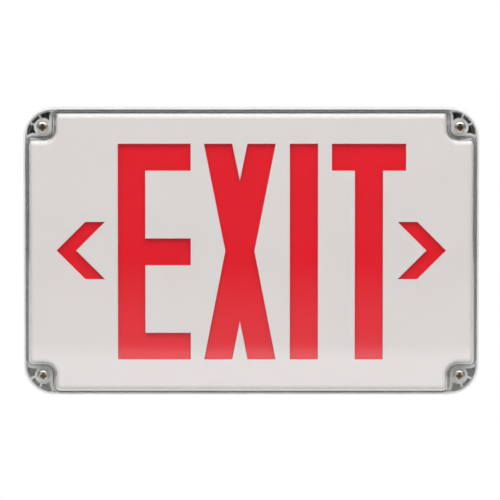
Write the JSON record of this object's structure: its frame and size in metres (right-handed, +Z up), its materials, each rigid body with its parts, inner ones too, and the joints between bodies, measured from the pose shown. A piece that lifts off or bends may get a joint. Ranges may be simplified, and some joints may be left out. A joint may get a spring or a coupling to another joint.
{
  "type": "emergency exit light",
  "caption": "Sealed wall-mounted emergency exit light: deep moulded housing, clear screwed cover, white stencil face with word and arrows over a red diffuser, battery and test switch inside.",
  "frame": {"origin": "middle of the rear wire hole, on the wall's face", "axes": "+X across the sign to the reader's right, +Z up, +Y into the wall, so the face looks along -Y"},
  "size_m": [0.3212, 0.07, 0.2037],
  "materials": {
    "white_housing": "fine moulded texture",
    "clear_plastic": "clear, glossy",
    "white_faceplate": "satin moulded white",
    "red_plastic": "translucent red",
    "white_reflector": "smooth white",
    "dark_rubber": "matt",
    "foam": "closed-cell foam",
    "screw_steel": "passivated",
    "brass": "turned",
    "zinc_steel": "zinc plated",
    "circuit_board": "lacquered laminate",
    "white_board": "white lacquered laminate",
    "light_chip": "phosphor resin",
    "plug_plastic": "moulded",
    "black_plastic": "moulded",
    "button_red": "glossy",
    "spring_steel": "drawn",
    "pilot_clear": "clear red",
    "led_resin": "epoxy",
    "capacitor_can": "sleeved",
    "relay_blue": "glossy",
    "terminal_green": "moulded",
    "sink_metal": "extruded",
    "core_steel": "varnished plates",
    "coil_tape": "polyester tape",
    "battery_sleeve": "shrink sleeve"
  },
  "bodies": {
    "sign": {"rear_housing": "white_housing", "wall_gasket": "foam", "housing_gasket": "dark_rubber", "clear_cover": "clear_plastic", "cover_screws": "screw_steel", "screw_inserts": "brass", "stencil_plate": "white_faceplate", "red_diffuser": "red_plastic", "reflector_tray": "white_reflector", "tray_screws": "zinc_steel", "upper_light_strip": "white_board", "lower_light_strip": "white_board", "strip_chips": "light_chip", "conduit_plugs": "plug_plastic", "plug_seals": "dark_rubber", "test_switch_body": "black_plastic", "switch_cap": "black_plastic", "switch_seal": "dark_rubber", "switch_nut": "zinc_steel", "button_spring": "spring_steel", "pilot_lens": "pilot_clear", "pilot_led": "led_resin", "control_board": "circuit_board", "board_screws": "zinc_steel", "capacitors": "capacitor_can", "relay": "relay_blue", "terminal_block": "terminal_green", "heat_sink": "sink_metal", "transformer_core": "core_steel", "transformer_winding": "coil_tape", "transformer_strap": "zinc_steel", "battery_pack": "battery_sleeve", "battery_strap": "zinc_steel", "strap_screws": "zinc_steel"},
    "button": {"test_button": "button_red"}
  },
  "joints": [
    {"name": "test_button_press", "type": "slide", "parent": "sign", "child": "button", "axis": [0, 0, 1], "range_m": [0, 0.002], "stiffness_N_per_m": 800, "deforming": ["button_spring"]}
  ]
}
